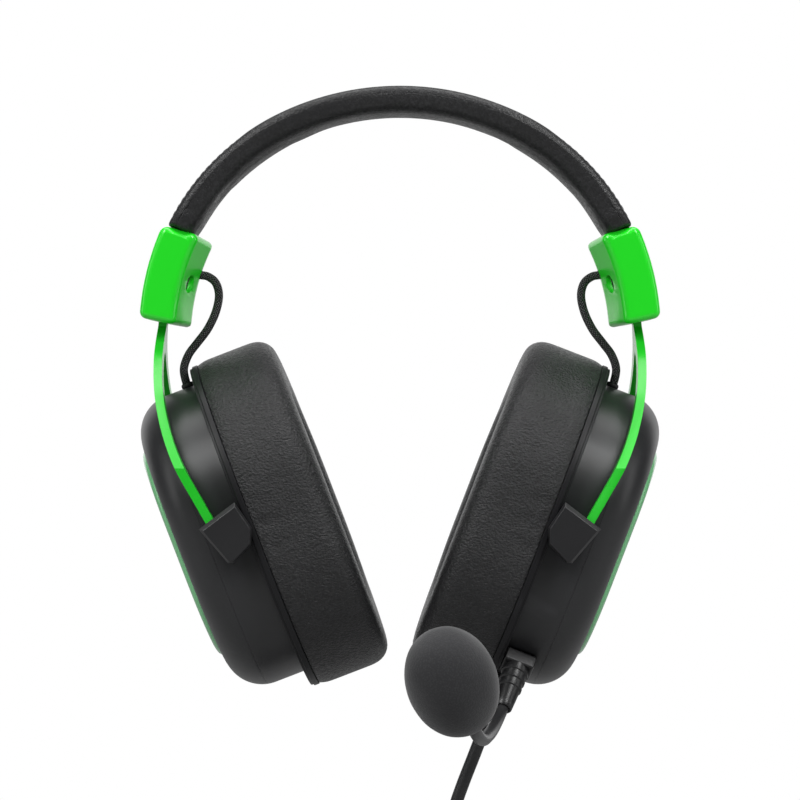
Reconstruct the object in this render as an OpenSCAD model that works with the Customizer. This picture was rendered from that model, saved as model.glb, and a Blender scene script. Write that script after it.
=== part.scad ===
// Over-ear gaming headset: sprung headband, slider blocks, wishbone yokes, tilting ear cups,
// plug-in gooseneck microphone and a lead with a stereo plug.
// Origin: underside of the headband at its top centre. The wearer faces -Y, the wearer's left is +X.
// Names ending in _l are on the wearer's left, names ending in _r on the wearer's right.

/* [Headband] */
// Inner radius of the headband arc
band_r = 71; // [69:0.5:73]
// Thickness of the padded headband
band_t = 10; // [8:0.5:11]
// Width of the headband, front to back
band_w = 36; // [32:1:40]
// Thickness of the steel spring strip
spring_t = 0.8; // [0.6:0.1:1]

/* [Slider blocks] */
// Innermost radius of a block, at its ridge
block_r_in = 68; // [67:0.5:69]
// Outermost radius of a block
block_r_out = 84.5; // [83:0.5:86]
// Width of a block, front to back
block_w = 34; // [32:1:36]

/* [Yokes] */
// Thickness of the yoke strip
yoke_t = 2.7; // [2:0.1:2.8]
// Half the width of the yoke's stem
stem_half_w = 4.5; // [3.5:0.5:5]
// Radius of the yoke's bend
yoke_bend_r = 76; // [75:0.5:77]

/* [Ear cups] */
// Lean of each cup, its bottom edge inwards
cup_lean = 21.1; // [20:0.1:22]
// End radius of the baffle and the ear pad
pad_r = 45; // [44:0.5:45.5]
// Half the straight length between the two end arcs
half_straight = 10; // [9:0.5:10.5]
// Thickness of the ear pad
pad_t = 25.5; // [20:0.5:26]
// End radius of the cup body
body_r = 39.4; // [38:0.1:39.4]
// Wall of the cup shells
cup_wall = 2.2; // [1.8:0.1:2.4]
// Radius of the cup's rounded outer edge
body_round = 12.5; // [10:0.5:13]

/* [Microphone] */
// Diameter of the gooseneck
neck_d = 4; // [3.6:0.1:4.2]
// Diameter of the foam windscreen
foam_d = 27.4; // [26:0.2:29]
// Length of the foam windscreen
foam_l = 36.6; // [34:0.2:38]

/* [Leads] */
// Diameter of the main lead
lead_d = 4.2; // [3.8:0.1:4.4]
// Diameter of the braided bridge leads
bridge_d = 2.7; // [2.4:0.1:2.8]
// Radius at the middle of the coil's turns
coil_r = 23; // [22:0.5:25]

/* [Hidden] */
$fn = 96;

green = [0.11, 0.89, 0.13];
yoke_green = [0.1, 0.62, 0.14];
soft_black = [0.18, 0.18, 0.2];
leather_black = [0.15, 0.15, 0.16];
rubber_black = [0.1, 0.1, 0.11];
foam_grey = [0.21, 0.21, 0.22];
steel = [0.72, 0.73, 0.75];
gold = [0.85, 0.72, 0.4];

// Headband. Angles are measured in the XZ plane from +X up, about the arc's centre.
band_z = -band_r;
block_low_angle = 4;
block_top_angle = 27;
// The padding's arc is flatter than the blocks', its centre this far below theirs
padding_drop = 4;
padding_end = 29.8;
spring_r = band_r + 3.6;
spring_low_angle = 20;
spring_half_w = 8;
slot_gap = 0.05;
cushion_t = band_t - 2.7;
band_half_w = band_w / 2;

// Blocks
block_half_w = block_w / 2;
block_side_r = block_r_in + 4.8;
block_split_r = band_r + 5.5;
block_edge = 2;
screw_angle = 14.6;
screw_y = 8.5;
screw_seat_r = block_r_in + 3.7;
bridge_hole_angle = 17.8;
bridge_gap = 0.25;

// Yoke: stem straight, then one bend, then a short straight end inside the pivot cap
stem_lean = 6;
stem_foot = [76.3, 0, -65.8];
stem_length = 29;
stem_below = 4;
slide_gap = 0.15;
bend_turn = 36;
strip_join = 0.05;
bend_end_angle = bend_turn - stem_lean;
arm_end_length = 19;
bend_x = stem_foot[0] + stem_below * sin(stem_lean) - yoke_bend_r * cos(stem_lean);
bend_z = stem_foot[2] - stem_below * cos(stem_lean) - yoke_bend_r * sin(stem_lean);
arm_in_y = 40;
arm_out_y = 47;
fork_z = [-67, -76.5, -88.5, -112];

// Cups: the cup's own frame has x outwards from the baffle's front face, z up along the cup
cup_x = 45.65;
cup_z = -130.67;
pivot_x = 8;
pivot_z = 1.5;
pivot_row_x = cup_x + pivot_x * cos(cup_lean) + pivot_z * sin(cup_lean);
pivot_row_z = cup_z - pivot_x * sin(cup_lean) + pivot_z * cos(cup_lean);
baffle_t = 2.6;
body_x1 = 25.4;
split_x = 15.5;
cap_in_y = arm_in_y;
cap_out_y = 49.5;
cap_lip_y = 45.4;
pin_r = 1.5;
driver_r = 27;
cone_r = 24;
pad_hole_r = 24;
pad_round = 7;
plate_r = 25.4;
plate_x0 = 24.6;
plate_x1 = 27;
grommet_x = 5.2;
post_place = [32.7, 22.2];

// Microphone: the boot stands radially on the cup's lower front edge
mic_x = 8;
mic_angle = asin(0.6);
jack_r = 1.75;
boot_base = 39.7;
boot_tip = 60;
foam_place = [15.3, -130, -173.7];
foam_turn = [38.5, -20, 0];
neck_route = [
    [34.4, -31.8, -182.4], [33.3, -34, -185.2], [32.1, -36.4, -187.9], [30.2, -43, -191.5], [28.4, -53, -193.8],
    [26.8, -65, -194.6], [25.5, -80, -194.3], [24.1, -95, -192.8], [22.7, -107, -190.2],
    [21.1, -116.5, -186.2], [19, -123, -181.2]
];

// Leads
relief_x = 6.5;
relief_tip = 63.2;
bridge_route = [
    [68.4, 0, -49], [66.4, 0, -49.7], [64.4, 0, -50.3], [61.9, 0, -50.8], [59.4, 0, -52.9],
    [58.4, 0, -57], [59.5, 0, -62.4], [62.1, 0, -67.8], [65.4, 0, -72.2], [68.2, 0, -76],
    [69.7, 0, -80.4], [69.1, 0, -84.4], [67.9, 0, -87.5]
];
lead_route = [
    [30.9, 0, -187], [29, 0, -192], [25.5, 0, -201], [21.8, 0, -210.5], [18.3, 0, -220],
    [15.6, 0, -229], [14, 0, -238], [13.5, 0, -246]
];
coil_place = [-9.5, 0, -258];
coil_half = 1.5 * lead_d;
tail_route = [[15, 6, -247], [18, 6.5, -252], [21.5, 7, -258], [24, 7, -264], [24.5, 7, -270]];
plug_top = [24.5, 7, -270];
plug_pin_r = 1.75;
plug_pin_length = 14;

// ---- Shapes used by several sub-parts ----

// Copies its children for the wearer's left (side = 1) or right (side = -1)
module on_side(side) {
    if (side > 0) {
        children();
    } else {
        mirror([1, 0, 0]) children();
    }
}

// Sweeps a (radius, width) outline round the headband's axis between two angles
module band_sweep(from, to) {
    rotate_to_band() rotate([0, 0, from]) rotate_extrude(angle = to - from) children();
}

// Sweeps a (radius, width) outline, given at the crown, along the padding's flatter arc
module padding_sweep() {
    rotate_to_band() translate([0, -padding_drop, 0]) rotate([0, 0, padding_end])
        rotate_extrude(angle = 180 - 2 * padding_end) translate([padding_drop, 0]) children();
}

// Puts the band's centre at the origin and its plane in XY
module rotate_to_band() {
    translate([0, 0, band_z]) rotate([90, 0, 0]) children();
}

// Points the child's z axis outwards along the headband's radius at an angle
module at_band_angle(angle, y) {
    translate([0, y, band_z]) rotate([0, 90 - angle, 0]) children();
}

// Frame of the yoke's stem: z up along the stem, x outwards
module in_stem() {
    translate(stem_foot) rotate([0, -stem_lean, 0]) children();
}

// Frame of the left cup
module in_cup() {
    translate([cup_x, 0, cup_z]) rotate([0, cup_lean, 0]) children();
}

// Lays a shape drawn in the xy plane across the cup: its x becomes the cup's y, its y the cup's z
module across_cup(x0, x1) {
    translate([x0, 0, 0]) rotate([90, 0, 90]) linear_extrude(height = x1 - x0) children();
}

// Outline with two round ends and straight sides
module stadium(r) {
    for (end = [-1, 1]) translate([0, end * half_straight]) circle(r);
    square([2 * r, 2 * half_straight], center = true);
}

// Solid whose (radius, x) outline goes round both ends of the stadium and along its sides
module stadium_sweep() {
    translate([0, 0, half_straight]) rotate([0, 90, 0]) rotate([0, 0, 90])
        rotate_extrude(angle = 180) children();
    translate([0, 0, -half_straight]) rotate([0, 90, 0]) rotate([0, 0, -90])
        rotate_extrude(angle = 180) children();
    for (turn = [0, 180]) rotate([turn, 0, 0])
        translate([0, 0, -half_straight]) linear_extrude(height = 2 * half_straight)
            rotate([0, 0, 90]) mirror([0, 1]) children();
}

// Rectangle with corners rounded on its far x side
module round_end_square(size, r) {
    square([size[0] - r, size[1]]);
    translate([0, r]) square([size[0], size[1] - 2 * r]);
    for (y = [r, size[1] - r]) translate([size[0] - r, y]) circle(r);
}

// ---- Smooth tube along a route ----

function unit(v) = v / norm(v);
function held(points, i) = points[max(0, min(len(points) - 1, i))];
function between(points, i, t) =
    let (a = held(points, i - 1), b = held(points, i), c = held(points, i + 1), d = held(points, i + 2))
    0.5 * (2 * b + (c - a) * t + (2 * a - 5 * b + 4 * c - d) * t * t + (3 * b - a - 3 * c + d) * t * t * t);
function smooth(points, steps) = concat(
    [for (i = [0 : len(points) - 2]) for (k = [0 : steps - 1]) between(points, i, k / steps)],
    [points[len(points) - 1]]
);
function ring(centre, along, across, r, sides) =
    let (u = unit(cross(across, along)), v = cross(along, u))
    [for (k = [0 : sides - 1]) centre + r * (cos(360 * k / sides) * u + sin(360 * k / sides) * v)];

// across is a direction that the route never runs along
module tube(route, d, sides, steps, across) {
    line = smooth(route, steps);
    last = len(line) - 1;
    points = [
        for (i = [0 : last])
            each ring(line[i], unit(held(line, i + 1) - held(line, i - 1)), across, d / 2, sides)
    ];
    walls = [
        for (i = [0 : last - 1]) for (k = [0 : sides - 1])
            let (a = i * sides + k, b = i * sides + (k + 1) % sides)
            each [[a, b, b + sides], [a, b + sides, a + sides]]
    ];
    start = [[for (k = [sides - 1 : -1 : 0]) k]];
    end = [[for (k = [0 : sides - 1]) last * sides + k]];
    polyhedron(points, concat(walls, start, end));
}

// ---- Headband ----

// Section of the spring strip, or with a gap of the slot that holds it
module spring_section(gap) {
    translate([spring_r - gap, -spring_half_w - gap]) square([spring_t + 2 * gap, 2 * (spring_half_w + gap)]);
}

module headband_spring() {
    color(steel) band_sweep(spring_low_angle, 180 - spring_low_angle) spring_section(0);
}

module headband_cushion() {
    color(leather_black) difference() {
        padding_sweep() translate([band_r + cushion_t, -band_half_w]) mirror([1, 0])
            round_end_square([cushion_t, band_w], 3.2);
        band_sweep(block_top_angle - 1, 181 - block_top_angle) spring_section(slot_gap);
    }
}

module headband_cover() {
    color(leather_black) padding_sweep()
        translate([band_r + cushion_t, -band_half_w]) round_end_square([band_t - cushion_t, band_w], 1.3);
}

// ---- Slider blocks ----

module block_outline() {
    polygon([
        [block_r_in, 0], [block_side_r, -block_half_w], [block_r_out - block_edge, -block_half_w],
        [block_r_out, block_edge - block_half_w], [block_r_out, block_half_w - block_edge],
        [block_r_out - block_edge, block_half_w], [block_side_r, block_half_w]
    ]);
}

module stem_channel() {
    in_stem() translate([-yoke_t / 2 - slide_gap, -stem_half_w - slide_gap, -4])
        cube([yoke_t + 2 * slide_gap, 2 * (stem_half_w + slide_gap), stem_length + 4.5]);
}

module detent_pocket() {
    in_stem() translate([yoke_t / 2, -3.6, 4]) cube([1.7, 7.2, 16]);
}

module screw_holes(r, from, to) {
    for (y = [-screw_y, screw_y]) at_band_angle(screw_angle, y)
        translate([0, 0, from]) cylinder(r = r, h = to - from);
}

module block_outer(side) {
    color(green) on_side(side) difference() {
        band_sweep(block_low_angle, block_top_angle) intersection() {
            block_outline();
            translate([block_split_r, -block_half_w]) square([block_r_out, block_w]);
        }
        for (turn = [0, 1]) mirror([0, turn, 0]) difference() {
            band_sweep(block_low_angle + 2, block_top_angle - 2)
                translate([block_split_r - 1, stem_half_w + 1.8])
                    square([block_r_out - block_split_r - 1.2, block_half_w - stem_half_w - 3.8]);
            screw_holes(2.3, band_r, block_r_out);
        }
        stem_channel();
        detent_pocket();
        screw_holes(1.25, band_r, block_split_r + 5);
    }
}

module block_inner(side) {
    color(green) on_side(side) difference() {
        band_sweep(block_low_angle, block_top_angle) intersection() {
            block_outline();
            translate([band_r - 10, -block_half_w]) square([block_split_r - band_r + 10, block_w]);
        }
        band_sweep(spring_low_angle, block_top_angle + 1) spring_section(slot_gap);
        stem_channel();
        screw_holes(1.25, band_r - 10, block_r_out);
        screw_holes(3, band_r - 10, screw_seat_r);
        at_band_angle(bridge_hole_angle, 0) rotate([0, 0, 35]) translate([0, 0, band_r - 10])
            cylinder(r = bridge_d / 2 + bridge_gap, h = 13);
    }
}

module block_screws(side) {
    color(steel) on_side(side) for (y = [-screw_y, screw_y]) at_band_angle(screw_angle, y) difference() {
        union() {
            translate([0, 0, screw_seat_r - 1.4]) cylinder(r = 2.4, h = 1.4);
            translate([0, 0, screw_seat_r]) cylinder(r = 1.25, h = block_split_r + 5 - screw_seat_r);
        }
        for (turn = [0, 90]) rotate([0, 0, turn])
            translate([-1.4, -0.3, screw_seat_r - 2]) cube([2.8, 0.6, 1.3]);
    }
}

module slide_detent(side) {
    color(steel) on_side(side) in_stem() {
        translate([yoke_t / 2 + 1.15, -3, 4.5]) cube([0.5, 6, 15]);
        translate([yoke_t / 2 + 0.95, 3, 12]) rotate([90, 0, 0]) cylinder(r = 0.75, h = 6);
    }
}

// ---- Yokes ----

// The bent strip, as wide as the fork, before its side outline is cut
module yoke_strip() {
    width = 2 * arm_out_y + 4;
    in_stem() translate([-yoke_t / 2, -width / 2, -stem_below - strip_join])
        cube([yoke_t, width, stem_below + stem_length + strip_join]);
    translate([bend_x, 0, bend_z]) {
        rotate([90, 0, 0]) rotate([0, 0, -bend_end_angle]) rotate_extrude(angle = bend_turn)
            translate([yoke_bend_r - yoke_t / 2, -width / 2]) square([yoke_t, width]);
        rotate([0, bend_end_angle, 0])
            translate([yoke_bend_r - yoke_t / 2, -width / 2, -arm_end_length])
                cube([yoke_t, width, arm_end_length + strip_join]);
    }
}

// Side view of the wishbone: stem, fork and two arms
module yoke_outline() {
    low = -150;
    top = -32;
    difference() {
        polygon([
            [-stem_half_w, top], [stem_half_w, top], [stem_half_w, fork_z[0]], [17, fork_z[1]],
            [29, fork_z[2]], [arm_out_y, fork_z[3]], [arm_out_y, low], [-arm_out_y, low],
            [-arm_out_y, fork_z[3]], [-29, fork_z[2]], [-17, fork_z[1]], [-stem_half_w, fork_z[0]]
        ]);
        polygon([
            [0, -75], [5, -76.5], [11.5, -81.5], [24, -93.5], [34, -104.5], [arm_in_y, -115], [arm_in_y, low - 1],
            [-arm_in_y, low - 1], [-arm_in_y, -115], [-34, -104.5], [-24, -93.5], [-11.5, -81.5], [-5, -76.5]
        ]);
    }
}

module yoke_solid() {
    intersection() {
        yoke_strip();
        rotate([90, 0, 90]) linear_extrude(height = 100) yoke_outline();
    }
}

module yoke(side) {
    color(yoke_green) on_side(side) difference() {
        yoke_solid();
        // Click notches across the stem's outer face
        for (step = [0 : 9]) in_stem()
            translate([yoke_t / 2 + 0.3, stem_half_w + 1, 3.5 + 2.2 * step])
                rotate([90, 0, 0]) cylinder(r = 0.7, h = 2 * stem_half_w + 2);
    }
}

// A prism about the pivot from one distance out along Y to another
module cap_prism(from, to, outline) {
    translate([pivot_row_x, -from, pivot_row_z]) rotate([90, 0, 0]) linear_extrude(height = to - from)
        polygon(outline);
}

// The cap's lip lies in front of the cup's flange; the part behind it stays clear as the cup tilts
module pivot_caps(side) {
    color(soft_black) on_side(side) for (face = [0, 1]) mirror([0, face, 0]) difference() {
        union() {
            cap_prism(cap_lip_y, cap_out_y,
                [[-1.9, 9.6], [9.2, 1.2], [0.1, -9.4], [-1.8, -9.3], [-7.1, -3.7], [-7.3, 1.6]]);
            cap_prism(cap_in_y, cap_lip_y + strip_join,
                [[-1.75, 9], [8.8, 1.15], [0.1, -9], [-1.6, -8.9], [-4.7, -5.7], [-5, 0.8]]);
        }
        yoke_solid();
        translate([pivot_row_x, -cap_in_y + 1, pivot_row_z]) rotate([90, 0, 0]) cylinder(r = pin_r, h = 7.5);
    }
}

module pivot_pins(side) {
    color(steel) on_side(side) for (face = [0, 1]) mirror([0, face, 0])
        translate([pivot_row_x, -arm_in_y + 6.5, pivot_row_z]) rotate([90, 0, 0]) cylinder(r = pin_r, h = 13);
}

// ---- Ear cups ----

// (radius, x) outline of the cup body, smaller by inset
module body_outline(inset) {
    r = body_r - inset;
    top = body_x1 - inset;
    edge = body_round - inset;
    square([r, top - edge]);
    square([r - edge, top]);
    translate([r - edge, top - edge]) intersection() {
        circle(edge);
        square(edge);
    }
}

module body_wall(x0, x1) {
    stadium_sweep() intersection() {
        difference() {
            body_outline(0);
            body_outline(cup_wall);
        }
        translate([0, x0]) square([body_r, x1 - x0]);
    }
}

// Radial frame on the cup's lower front edge: z outwards along the microphone boot
module in_mic_axis() {
    translate([mic_x, 0, -half_straight]) rotate([180 - mic_angle, 0, 0]) children();
}

module at_posts() {
    for (y = [-1, 1], z = [-1, 1]) translate([0, y * post_place[0], z * post_place[1]])
        rotate([0, 90, 0]) children();
}

module cup_housing(side) {
    color(soft_black) on_side(side) in_cup() difference() {
        union() {
            body_wall(baffle_t, split_x);
            for (face = [0, 180]) translate([pivot_x, 0, pivot_z]) rotate([90 + face, 0, 0])
                translate([0, 0, arm_in_y - 8]) cylinder(r = 4.2, h = body_r - arm_in_y + 7.5);
            at_posts() translate([0, 0, baffle_t]) cylinder(r = 2.8, h = split_x - baffle_t);
        }
        for (face = [0, 180]) translate([pivot_x, 0, pivot_z]) rotate([90 + face, 0, 0])
            translate([0, 0, arm_in_y - 9]) cylinder(r = pin_r + 0.04, h = 10);
        at_posts() cylinder(r = 1.1, h = 9);
        translate([grommet_x, 0, half_straight + body_r - 6]) cylinder(r = 2.2, h = 8);
        if (side > 0) {
            translate([relief_x, 0, -half_straight - body_r - 2]) cylinder(r = 3.3, h = 6);
            in_mic_axis() translate([0, 0, body_r - 6]) cylinder(r = 3.4, h = 8);
        }
    }
}

module cup_shell(side) {
    color(soft_black) on_side(side) in_cup() difference() {
        body_wall(split_x, body_x1 + 1);
        across_cup(plate_x0, body_x1 + 1) stadium(plate_r);
    }
}

// The plate's face is a shallow dome in three steps
module side_plate(side) {
    color(green) on_side(side) in_cup() {
        across_cup(plate_x0, plate_x0 + 1) stadium(plate_r - 0.1);
        across_cup(plate_x0 + 1, plate_x1 - 0.6) stadium(plate_r - 4);
        across_cup(plate_x1 - 0.6, plate_x1) stadium(plate_r - 10);
    }
}

module baffle(side) {
    color(soft_black) on_side(side) in_cup() difference() {
        union() {
            across_cup(0, baffle_t - 0.9) stadium(pad_r);
            across_cup(baffle_t - 0.9, baffle_t) stadium(pad_r - 0.5);
        }
        translate([-1, 0, 0]) rotate([0, 90, 0]) cylinder(r = cone_r, h = baffle_t + 2);
        at_posts() translate([0, 0, -1]) cylinder(r = 1.1, h = baffle_t + 2);
        at_posts() translate([0, 0, -1]) cylinder(r = 2.2, h = 2.4);
    }
}

module cup_screws(side) {
    color(steel) on_side(side) in_cup() at_posts() difference() {
        union() {
            cylinder(r = 2, h = 1.4);
            translate([0, 0, 1.4]) cylinder(r = 1.1, h = 7.4);
        }
        for (turn = [0, 90]) rotate([0, 0, turn]) translate([-1.2, -0.25, -1]) cube([2.4, 0.5, 1.7]);
    }
}

module driver_frame(side) {
    color(soft_black) on_side(side) in_cup() translate([baffle_t, 0, 0]) rotate([0, 90, 0]) difference() {
        cylinder(r = driver_r, h = 6);
        translate([0, 0, -1]) cylinder(r = cone_r + 0.5, h = 5.5);
        cylinder(r = 12.5, h = 8);
        for (turn = [0 : 60 : 300]) rotate([0, 0, turn]) translate([18.5, 0, 3]) cylinder(r = 3, h = 5);
    }
}

module driver_magnet(side) {
    color(steel) on_side(side) in_cup() translate([baffle_t + 4, 0, 0]) rotate([0, 90, 0]) {
        cylinder(r = 12.4, h = 7);
        translate([0, 0, 7]) cylinder(r = 10, h = 1.2);
    }
}

module driver_diaphragm(side) {
    color([0.75, 0.73, 0.68]) on_side(side) in_cup() translate([baffle_t, 0, 0]) rotate([0, 90, 0])
        rotate_extrude() polygon([
            [0, -0.6], [6, -0.2], [11, 1.2], [17, 0.6], [23, 1.2], [24.4, 1.2],
            [24.4, 1.6], [22.8, 1.6], [17, 1], [11, 1.6], [6, 0.2], [0, -0.2]
        ]);
}

module ear_pad(side) {
    color(leather_black) on_side(side) in_cup() stadium_sweep()
        translate([pad_hole_r, 0]) rotate([0, 0, -90])
            round_end_square([pad_t, pad_r - pad_hole_r], pad_round);
}

module pad_scrim(side) {
    color([0.08, 0.08, 0.08]) on_side(side) in_cup() across_cup(-1.2, -0.6) stadium(pad_hole_r - 0.2);
}

module bridge_grommet(side) {
    color(rubber_black) on_side(side) in_cup() translate([grommet_x, 0, half_straight + body_r]) difference() {
        union() {
            translate([0, 0, -3]) cylinder(r = 2.2, h = 3.2);
            translate([0, 0, 0.2]) cylinder(r1 = 2.5, r2 = 2.1, h = 1.3);
        }
        translate([0, 0, -4]) cylinder(r = bridge_d / 2 + bridge_gap, h = 6);
    }
}

module bridge_cable(side) {
    color(rubber_black) on_side(side) tube(bridge_route, bridge_d, 8, 2, [0, 1, 0]);
}

// ---- Microphone ----

module mic_socket() {
    color(soft_black) in_cup() in_mic_axis() difference() {
        translate([0, 0, 25]) cylinder(r = 4, h = 11.6);
        translate([0, 0, 24]) cylinder(r = jack_r + 0.05, h = 14);
    }
}

module mic_jack_pin() {
    color(gold) in_cup() in_mic_axis() {
        translate([0, 0, 28.5]) cylinder(r = jack_r, h = boot_base - 28.5);
        translate([0, 0, 27.7]) cylinder(r = 1.2, h = 0.8);
        translate([0, 0, 25.7]) cylinder(r1 = 0.7, r2 = jack_r, h = 2);
    }
}

module mic_boot() {
    color(soft_black) in_cup() in_mic_axis() difference() {
        union() {
            translate([-5, -4.2, boot_base]) cube([10, 8.4, 4]);
            translate([0, 0, boot_base + 4]) cylinder(r1 = 4.1, r2 = 2.9, h = boot_tip - boot_base - 4);
            for (step = [0 : 2]) translate([0, 0, boot_base + 6 + 3 * step])
                cylinder(r = 4.4 - 0.3 * step, h = 1.2);
        }
        translate([0, 0, 51]) cylinder(r = neck_d / 2 + 0.2, h = boot_tip - 50);
    }
}

module gooseneck() {
    color(rubber_black) tube(neck_route, neck_d, 10, 3, [1, 0, 0]);
}

module in_foam() {
    translate(foam_place) rotate(foam_turn) children();
}

module mic_capsule() {
    color(soft_black) in_foam() difference() {
        translate([0, 0, -10]) cylinder(r = 4.8, h = 12);
        translate([0, 0, -11]) cylinder(r = neck_d / 2 + 1, h = 5);
        translate([0, 0, 1]) cylinder(r = 3.4, h = 2);
    }
}

module mic_foam() {
    straight = foam_l / 2 - foam_d / 2;
    color(foam_grey) in_foam() difference() {
        union() {
            for (end = [-1, 1]) translate([0, 0, end * straight]) sphere(d = foam_d);
            translate([0, 0, -straight]) cylinder(d = foam_d, h = 2 * straight);
        }
        translate([0, 0, -foam_l]) cylinder(r = 5, h = foam_l + 3);
    }
}

// ---- Main lead ----

module lead_strain_relief() {
    color(rubber_black) in_cup() translate([relief_x, 0, -relief_tip]) difference() {
        union() {
            cylinder(r1 = 2.9, r2 = 3.7, h = relief_tip - half_straight - body_r - 0.2);
            translate([0, 0, 1]) cylinder(r = 3.2, h = 17.5);
            for (step = [0 : 2]) translate([0, 0, 2 + 3.2 * step]) cylinder(r = 3.6 + 0.1 * step, h = 1.4);
            translate([0, 0, 17]) cylinder(r = 3.7, h = 1.5);
        }
        translate([0, 0, -1]) cylinder(r = lead_d / 2 + 0.25, h = 22);
    }
}

module lead() {
    color(rubber_black) tube(lead_route, lead_d, 10, 2, [0, 1, 0]);
}

module coil_outline(grow) {
    half = coil_half + grow;
    translate([coil_r - half, -half]) square(2 * half);
}

module lead_coil() {
    color(rubber_black) translate(coil_place) rotate([90, 0, 0]) rotate_extrude() coil_outline(0);
}

module coil_tie() {
    color([0.05, 0.05, 0.05]) translate(coil_place) rotate([90, 0, 0]) rotate([0, 0, 80])
        rotate_extrude(angle = 20) difference() {
            coil_outline(1);
            coil_outline(0);
        }
}

module lead_tail() {
    color(rubber_black) tube(tail_route, lead_d, 10, 2, [0, 1, 0]);
}

module plug_body() {
    color(rubber_black) translate(plug_top) difference() {
        union() {
            translate([0, 0, -8]) cylinder(r1 = 3.6, r2 = 2.7, h = 9);
            translate([0, 0, -24]) cylinder(r = 4.2, h = 16);
            translate([0, 0, -26]) cylinder(r = 3.4, h = 2);
        }
        translate([0, 0, -3]) cylinder(r = lead_d / 2 + 0.25, h = 6);
    }
}

module plug_pin() {
    color(gold) translate(plug_top - [0, 0, 26]) {
        translate([0, 0, 3 - plug_pin_length]) cylinder(r = plug_pin_r, h = plug_pin_length - 3);
        translate([0, 0, 2.2 - plug_pin_length]) cylinder(r = 1.2, h = 0.8);
        translate([0, 0, -plug_pin_length]) cylinder(r1 = 0.7, r2 = plug_pin_r, h = 2.2);
    }
}

headband_spring();
headband_cushion();
headband_cover();
block_outer(1);  // block_outer_l
block_outer(-1);  // block_outer_r
block_inner(1);  // block_inner_l
block_inner(-1);  // block_inner_r
block_screws(1);  // block_screws_l
block_screws(-1);  // block_screws_r
slide_detent(1);  // slide_detent_l
slide_detent(-1);  // slide_detent_r
yoke(1);  // yoke_l
yoke(-1);  // yoke_r
pivot_caps(1);  // pivot_caps_l
pivot_caps(-1);  // pivot_caps_r
pivot_pins(1);  // pivot_pins_l
pivot_pins(-1);  // pivot_pins_r
cup_housing(1);  // cup_housing_l
cup_housing(-1);  // cup_housing_r
cup_shell(1);  // cup_shell_l
cup_shell(-1);  // cup_shell_r
side_plate(1);  // side_plate_l
side_plate(-1);  // side_plate_r
baffle(1);  // baffle_l
baffle(-1);  // baffle_r
driver_frame(1);  // driver_frame_l
driver_frame(-1);  // driver_frame_r
driver_magnet(1);  // driver_magnet_l
driver_magnet(-1);  // driver_magnet_r
driver_diaphragm(1);  // driver_diaphragm_l
driver_diaphragm(-1);  // driver_diaphragm_r
ear_pad(1);  // ear_pad_l
ear_pad(-1);  // ear_pad_r
pad_scrim(1);  // pad_scrim_l
pad_scrim(-1);  // pad_scrim_r
cup_screws(1);  // cup_screws_l
cup_screws(-1);  // cup_screws_r
bridge_grommet(1);  // bridge_grommet_l
bridge_grommet(-1);  // bridge_grommet_r
bridge_cable(1);  // bridge_cable_l
bridge_cable(-1);  // bridge_cable_r
mic_socket();
mic_jack_pin();
mic_boot();
gooseneck();
mic_capsule();
mic_foam();
lead_strain_relief();
lead();
lead_coil();
coil_tie();
lead_tail();
plug_body();
plug_pin();
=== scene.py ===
"""Looks of the gaming headset: leatherette band and pads, green blocks and yokes, soft black cups,
braided bridge leads, a gooseneck microphone with a foam windscreen, and a coiled lead.

Lengths are in millimetres in the CAD frame, and become metres in new_mesh() and cord_curve()."""

import math

import bmesh
import bpy
import numpy as np
from mathutils import Matrix, Vector, noise


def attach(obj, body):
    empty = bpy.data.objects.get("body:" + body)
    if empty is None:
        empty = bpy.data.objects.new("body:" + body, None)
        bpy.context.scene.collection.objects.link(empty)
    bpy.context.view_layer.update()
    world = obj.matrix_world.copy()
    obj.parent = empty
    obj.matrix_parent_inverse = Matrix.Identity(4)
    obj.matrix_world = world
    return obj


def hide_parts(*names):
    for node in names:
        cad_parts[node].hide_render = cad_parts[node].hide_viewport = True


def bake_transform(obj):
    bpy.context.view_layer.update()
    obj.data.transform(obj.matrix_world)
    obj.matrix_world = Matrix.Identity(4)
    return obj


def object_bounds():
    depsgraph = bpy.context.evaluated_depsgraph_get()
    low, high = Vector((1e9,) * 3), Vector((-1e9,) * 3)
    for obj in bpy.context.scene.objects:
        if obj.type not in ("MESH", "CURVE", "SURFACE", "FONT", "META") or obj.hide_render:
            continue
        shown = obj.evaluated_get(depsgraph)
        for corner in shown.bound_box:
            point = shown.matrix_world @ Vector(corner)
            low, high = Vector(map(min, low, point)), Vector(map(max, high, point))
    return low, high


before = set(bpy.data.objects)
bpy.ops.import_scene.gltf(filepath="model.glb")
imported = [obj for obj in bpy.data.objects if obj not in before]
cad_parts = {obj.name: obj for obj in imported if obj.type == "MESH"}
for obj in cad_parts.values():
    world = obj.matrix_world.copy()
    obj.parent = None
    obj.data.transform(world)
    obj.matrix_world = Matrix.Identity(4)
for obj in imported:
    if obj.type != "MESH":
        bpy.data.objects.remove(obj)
CAD_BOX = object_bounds()

MM = 0.001
SIDES = (("l", 1), ("r", -1))

# The CAD's main values
BAND_R = 71.0
BAND_T = 10.0
BAND_HALF_W = 18.0
COVER_T = 2.7
# The padding's three arcs: the crown's half angle, how far its centre lies below the blocks',
# and the step in radius
CROWN_HALF_ANGLE = 27.0
CROWN_DROP = 8.5
ARC_STEP = 13.5
PADDING_END = 25.4
BLOCK_LOW_ANGLE = 3.0
BLOCK_TOP_ANGLE = 27.0
BLOCK_END_LEAN = 1.7
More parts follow.
